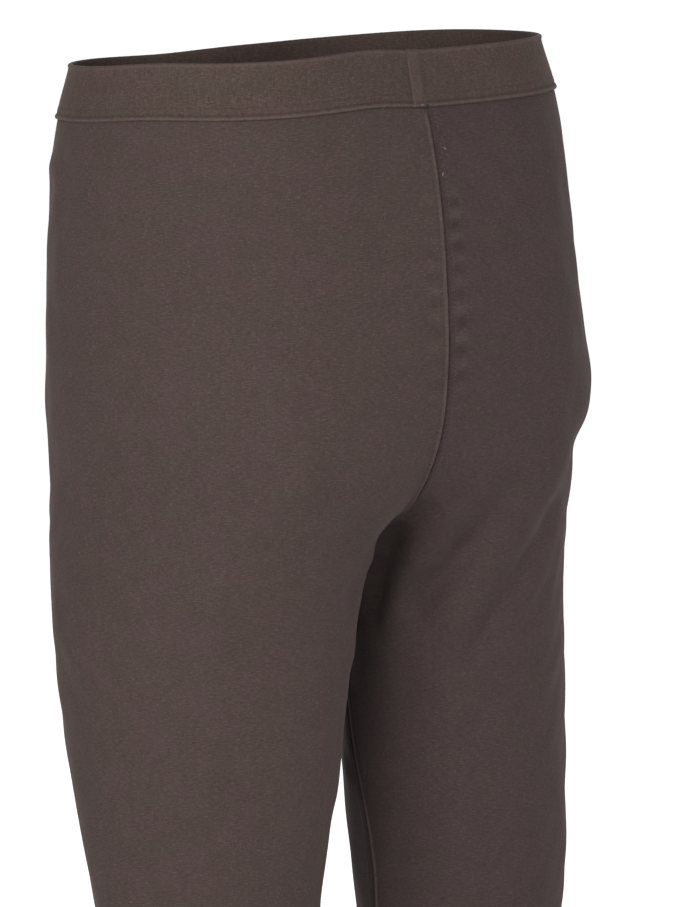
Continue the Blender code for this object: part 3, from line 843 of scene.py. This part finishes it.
def makeJoin():
    across = np.linspace(-0.5, 0.5, join["columns"])[None, :]
    shown = bandGrid["out"] > 0.0005
    last = np.argmax(bandGrid["depth"])
    rings, normal, depth = [bandGrid[key][1:last][shown[1:last]]
                            for key in ("rings", "normal", "depth")]
    near = (rings[0, :, 1] > 0) & (np.abs(rings[0, :, 0]) < 4 * join["width"])
    order = np.argsort(-rings[0, near, 0])[::-1]
    frayed = join["fray"] * bumps(depth, (0.0041, 0.0073, 0.0120), 1.4)
    middle = join["lean"] * depth / garment["bandDepth"] + frayed
    wanted = middle[:, None] + join["width"] * across
    place, away = [
        np.array([np.stack([np.interp(w, r[near, 0][order], g[near, k][order]) for k in range(3)],
                           -1) for w, r, g in zip(wanted, rings, grid)])
        for grid in (rings, normal)]
    thick = join["thickness"] * (1 - 0.85 * (2 * np.abs(across)) ** 5)
    thick = thick + join["uneven"] * bumps(depth, (0.0026, 0.0057, 0.0090), 0.4)[:, None]
    outer = place + away * (join["clear"] + thick)[..., None]
    inner = place + away * join["clear"]
    faces = np.concatenate(shellFaces(*outer.shape[:2], len(outer))[1])[:, (0, 3, 2, 1)]
    cloth = np.stack([across * join["width"] + 0 * thick, -depth[:, None] + 0 * thick], -1)
    cloth = np.concatenate([cloth.reshape(-1, 2), cloth.reshape(-1, 2)])[faces.ravel()]
    points = np.concatenate([outer.reshape(-1, 3), inner.reshape(-1, 3)])
    piece = meshObject("bandJoin", points, faces, [elastic], cloth,
                       tone=np.full(len(points), join["tone"]))
    return piece


joinPiece = makeJoin()
print("join made")

# Stitches: short lengths of thread whose ends dive into the cloth.
stitch = {
    "sides": 6,
    "share": 0.66,  # length of a stitch in its pitch
    "radius": 0.00016,
    "finer": 0.8,  # times that, in the band's second row and along the seam
    # along it: place, and thickness and height off the cloth in radii
    "profile": ((0.0, 0.55, -1.1), (0.12, 0.95, -0.1), (0.5, 1.0, 0.35), (0.88, 0.95, -0.1),
                (1.0, 0.55, -1.1)),
}


# stitches along a path, their centres at equal steps
def stitchRow(path, normals, pitch, closed, radius, share):
    if closed:
        path, normals = [np.concatenate([grid, grid[:1]]) for grid in (path, normals)]
    length = distanceAlong(path, False)
    count = max(1, round(length[-1] / pitch))
    middle = (np.arange(count) + 0.5) * length[-1] / count
    half = 0.5 * share * length[-1] / count
    start, end, up = [
        np.stack([np.interp(at, length, grid[:, k]) for k in range(3)], -1)
        for grid, at in ((path, middle - half), (path, middle + half), (normals, middle))]
    return threads(start, end, unit(up), radius)


# threads from starts to ends: rings of points round a bowed line, closed by a point at each end
def threads(start, end, up, radius):
    place, size, bow = np.array(stitch["profile"]).T
    size, bow = size * radius, bow * radius
    angle = np.arange(stitch["sides"]) * 2 * math.pi / stitch["sides"]
    side = unit(np.cross(end - start, up))
    line = (start[:, None] + (end - start)[:, None] * place[None, :, None]
            + up[:, None] * bow[None, :, None])
    wheel = (side[:, None, None] * np.cos(angle)[None, None, :, None]
             + up[:, None, None] * np.sin(angle)[None, None, :, None])
    rings = (line[:, :, None] + wheel * size[None, :, None, None]).reshape(len(start), -1, 3)
    points = np.concatenate([rings, line[:, :1], line[:, -1:]], axis=1)
    stations, sides = len(place), stitch["sides"]
    number = np.arange(stations * sides).reshape(stations, sides)
    beside = np.roll(number, -1, axis=1)
    tube = quadsOf(number[:-1], number[1:], beside[1:], beside[:-1])
    first, last = stations * sides, stations * sides + 1
    caps = [[first, number[0, k], beside[0, k]] for k in range(sides)]
    caps += [[last, beside[-1, k], number[-1, k]] for k in range(sides)]
    return points, tube, np.array(caps)


# one piece from several rows of threads
def threadPiece(name, rows, material):
    points, faces, shift = [], [], 0
    for rowPoints, tube, caps in rows:
        count, each = rowPoints.shape[:2]
        starts = shift + np.arange(count)[:, None, None] * each
        faces += (tube[None] + starts).reshape(-1, 4).tolist()
        faces += (caps[None] + starts).reshape(-1, 3).tolist()
        points.append(rowPoints.reshape(-1, 3))
        shift += count * each
    return meshObject(name, np.concatenate(points), faces, [material], sharp=80.0)


def bandRow(depth):
    row = np.argmin(np.abs(bandGrid["depth"] - depth) + (bandGrid["out"] < 0.0008))
    return bandGrid["rings"][row], bandGrid["normal"][row]


finerRadius = stitch["finer"] * stitch["radius"]
bandStitches = threadPiece("bandStitches", [
    stitchRow(*bandRow(depth), band["stitchPitch"], True, radius, stitch["share"])
    for depth, radius in ((band["needleAt"][0], stitch["radius"]),
                          (band["secondRow"], finerRadius))], bandThread)


# the lying side of the seam is the right panel's edge, at the centre back and the centre front
def seamRow(grid, column):
    rows = slice(4, grid["forkRow"] - 4)
    return grid["face"][rows, column], grid["normal"][rows, column]


stitchColumn = legCloth["edgeColumns"].index(seam["stitchLine"])
seamStitches = threadPiece("seamStitches", [
    stitchRow(*seamRow(rightGrid, column), seam["stitchPitch"], False, finerRadius,
              stitch["share"]) for column in (-1 - stitchColumn, stitchColumn)], seamThread)


def hemRow(grid, above):
    row = np.argmin(np.abs(grid["levels"] + garment["length"] - above))
    return grid["face"][row, :-1], grid["normal"][row, :-1]


hemStitches = {}
for side, grid in (("Left", leftGrid), ("Right", rightGrid)):
    hemStitches[side] = threadPiece("hemStitches" + side, [
        stitchRow(*hemRow(grid, above), hem["stitchPitch"], True, stitch["radius"],
                  hem["stitchShare"])
        for above in hem["stitchRows"]], seamThread)

# The bar tack where the seam meets the band's foot, and loose ends of light thread there and
# beside the seam. Their places from the tack's centre are across, down and off the cloth.
tack = {
    "place": 0.0026,  # to the left of the mid-plane
    "depth": 0.0331,
    "width": 0.0072,
    "stitches": 13,
    "slant": 0.00025,
    "start": (-0.00070, 0.0005),  # down and off
    "end": (0.00130, 0.0001),
    "radius": 0.00027,
}
looseThreads = {
    "start": (0.0020, 0.0, 0.0011),
    "end": (0.0006, -0.0006, 0.0013),
    "radius": 0.00016,
    # beside the seam: levels, distances from it, and half of each thread's run
    "levels": (-0.0580, -0.0705),
    "fromSeam": (0.0075, 0.0031),
    "runs": ((0.0010, 0.0, 0.0006), (-0.0001, 0.0, 0.0011)),
    "lifts": (0.0004, 0.0006),
    "besideRadius": 0.00018,
}


def makeTack():
    row = np.argmin(np.abs(bandGrid["depth"] - tack["depth"]) + (bandGrid["out"] < 0.0012))
    ring, normal = bandGrid["rings"][row], bandGrid["normal"][row]
    near = np.argsort(np.abs(ring[:, 0] - tack["place"]) + (ring[:, 1] < 0))[0]
    centre, up = ring[near], normal[near]
    across = unit(np.array([1.0, 0.0, 0.0]) - up * up[0])
    down = np.cross(up, across)
    down *= -np.sign(down[2])
    place = (np.linspace(-0.5, 0.5, tack["stitches"]) * tack["width"])[:, None]
    slant = np.where(np.arange(tack["stitches"]) % 2, 1, -1)[:, None] * tack["slant"]
    start, end = [centre + across * (place + lean * slant) + down * tack[key][0] + up * tack[key][1]
                  for key, lean in (("start", -1), ("end", 1))]
    ups = np.repeat(up[None], tack["stitches"], axis=0)
    bars = threads(start, end, ups, tack["radius"])
    axes = np.array([across, down, up])
    loose = threads(*[(centre + np.array(looseThreads[key]) @ axes)[None]
                      for key in ("start", "end")], up[None], looseThreads["radius"])
    rows = [np.argmin(np.abs(rightGrid["levels"] - level)) for level in looseThreads["levels"]]
    columns = [-1 - legCloth["edgeColumns"].index(away) for away in looseThreads["fromSeam"]]
    base, lift = rightGrid["face"][rows, columns], rightGrid["normal"][rows, columns]
    run, (low, high) = np.array(looseThreads["runs"]), looseThreads["lifts"]
    lint = threads(base - run + lift * low, base + run + lift * high, lift,
                   looseThreads["besideRadius"])
    return (threadPiece("barTack", [bars], tackThread),
            threadPiece("looseEnds", [loose, lint], looseThread))


barTack, looseEnds = makeTack()
print("stitches made")

# What each piece stands for: it hangs from the root, and that part of the frame is hidden.
for piece, node, slotName in ((legLeft, "leg_left", "jersey_left"),
                              (legRight, "leg_right", "jersey_right"),
                              (bandPiece, "waistband", "elastic_band"),
                              (joinPiece, "waistband_join", "elastic_join")):
    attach(piece, "root")
    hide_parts(node)
for piece, slotName in ((bandStitches, "elastic_band"), (seamStitches, "jersey_right"),
                        (hemStitches["Left"], "jersey_left"),
                        (hemStitches["Right"], "jersey_right"), (barTack, "elastic_band"),
                        (looseEnds, "elastic_band")):
    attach(piece, "root")

# Camera at the photograph's angle: behind and to the left, looking down from above the waist.
view = {
    "place": (1.2718, 2.0353, 0.23),
    "target": (-0.01696, 0.01060, -0.259),
    "lens": 152.0,
    "sensor": 36.0,
}


# the turn of a camera or lamp at a place that looks at a target
def turnTo(place, target):
    return (Vector(target) - Vector(place)).to_track_quat("-Z", "Y").to_euler()


camera = addObject("camera", bpy.data.cameras.new("camera"))
camera.data.lens = view["lens"]
camera.data.sensor_width = view["sensor"]
camera.data.sensor_fit = "AUTO"
camera.data.clip_end = 200.0
camera.location = view["place"]
camera.rotation_euler = turnTo(view["place"], view["target"])
scene.camera = camera

# Light: an even room, large soft lights from all sides, faintest in front, and a pale floor that
# glows further out and behind, as a studio's background does.
light = {
    "room": 0.185,
    "roomColour": (1.0, 1.0, 1.0),
    "floor": (0.62, 0.62, 0.62),
    "floorZ": -0.985,
    "floorSize": 60.0,
    "floorGlow": 0.83,  # of the lit part
    # distances between which its share changes, and the shares
    "glowRing": (0.20, 1.35, 0.12, 1.0),  # from the middle outwards
    "glowFar": (12.5, 29.0, 1.0, 0.0),  # the same, where it fades into the room
    "glowBehind": (-1.6, 0.9, 0.0, 1.0),  # towards the view's far side
    "glowTowards": (-0.53, -0.85),  # the way the camera looks, along the floor
    "glowElsewhere": 0.075,
    "lamps": (
        ("keyLight", (1.75, 1.55, 0.65), (0.0, 0.05, -0.40), 1.1, 37.0),
        ("backLight", (0.2, 2.5, 0.5), (0.0, 0.05, -0.40), 1.2, 14.5),
        ("leftLight", (3.0, 0.7, 0.05), (0.0, 0.0, -0.55), 0.9, 26.0),
        ("rightLight", (-3.0, 1.4, 0.05), (0.0, 0.0, -0.60), 0.9, 35.0),
        ("frontLight", (-1.0, -2.2, 1.3), (0.0, 0.0, -0.3), 1.6, 10.0),
    ),
}
world = bpy.data.worlds.new("room")
world.use_nodes = True
background = world.node_tree.nodes["Background"]
background.inputs["Color"].default_value = (*light["roomColour"], 1.0)
background.inputs["Strength"].default_value = light["room"]
scene.world = world
for name, place, target, size, watts in light["lamps"]:
    lamp = bpy.data.lights.new(name, "AREA")
    lamp.size = size
    lamp.energy = watts
    lampObject = addObject(name, lamp)
    lampObject.location = place
    lampObject.rotation_euler = turnTo(place, target)

paleFloor, floorTree, floorShader = newMaterial("paleFloor", {
    "Base Color": (*light["floor"], 1.0), "Roughness": 0.9, "Specular IOR Level": 0.1,
    "Emission Color": (1.0, 1.0, 1.0, 1.0)})
split = addNode(floorTree, "ShaderNodeSeparateXYZ")
floorPlace = addNode(floorTree, "ShaderNodeTexCoord")
floorTree.links.new(floorPlace.outputs["Object"], split.inputs[0])
squares = [mathNode(floorTree, "POWER", split.outputs[k], 2.0) for k in ("X", "Y")]
behind = [mathNode(floorTree, "MULTIPLY", split.outputs[k], share)
          for k, share in zip(("X", "Y"), light["glowTowards"])]
outwards = mathNode(floorTree, "SQRT", mathNode(floorTree, "ADD", *squares))
backwards = mathNode(floorTree, "ADD", *behind)
glow = light["floorGlow"]
for place, key in ((outwards, "glowRing"), (outwards, "glowFar"), (backwards, "glowBehind")):
    glow = mathNode(floorTree, "MULTIPLY", stepNode(floorTree, place, *light[key]), glow)
glow = mathNode(floorTree, "ADD", glow, light["glowElsewhere"])
floorTree.links.new(glow, floorShader.inputs["Emission Strength"])
floorPoints = np.array([(x * light["floorSize"] / 2, y * light["floorSize"] / 2, light["floorZ"])
                        for x, y in ((-1, -1), (1, -1), (1, 1), (-1, 1))])
floor = meshObject("floor", floorPoints, np.array([[0, 1, 2, 3]]), [paleFloor])

scene.view_settings.view_transform = "Standard"
scene.view_settings.look = "None"
scene.view_settings.exposure = 0.0
scene.view_settings.gamma = 1.0
print("camera and light set")
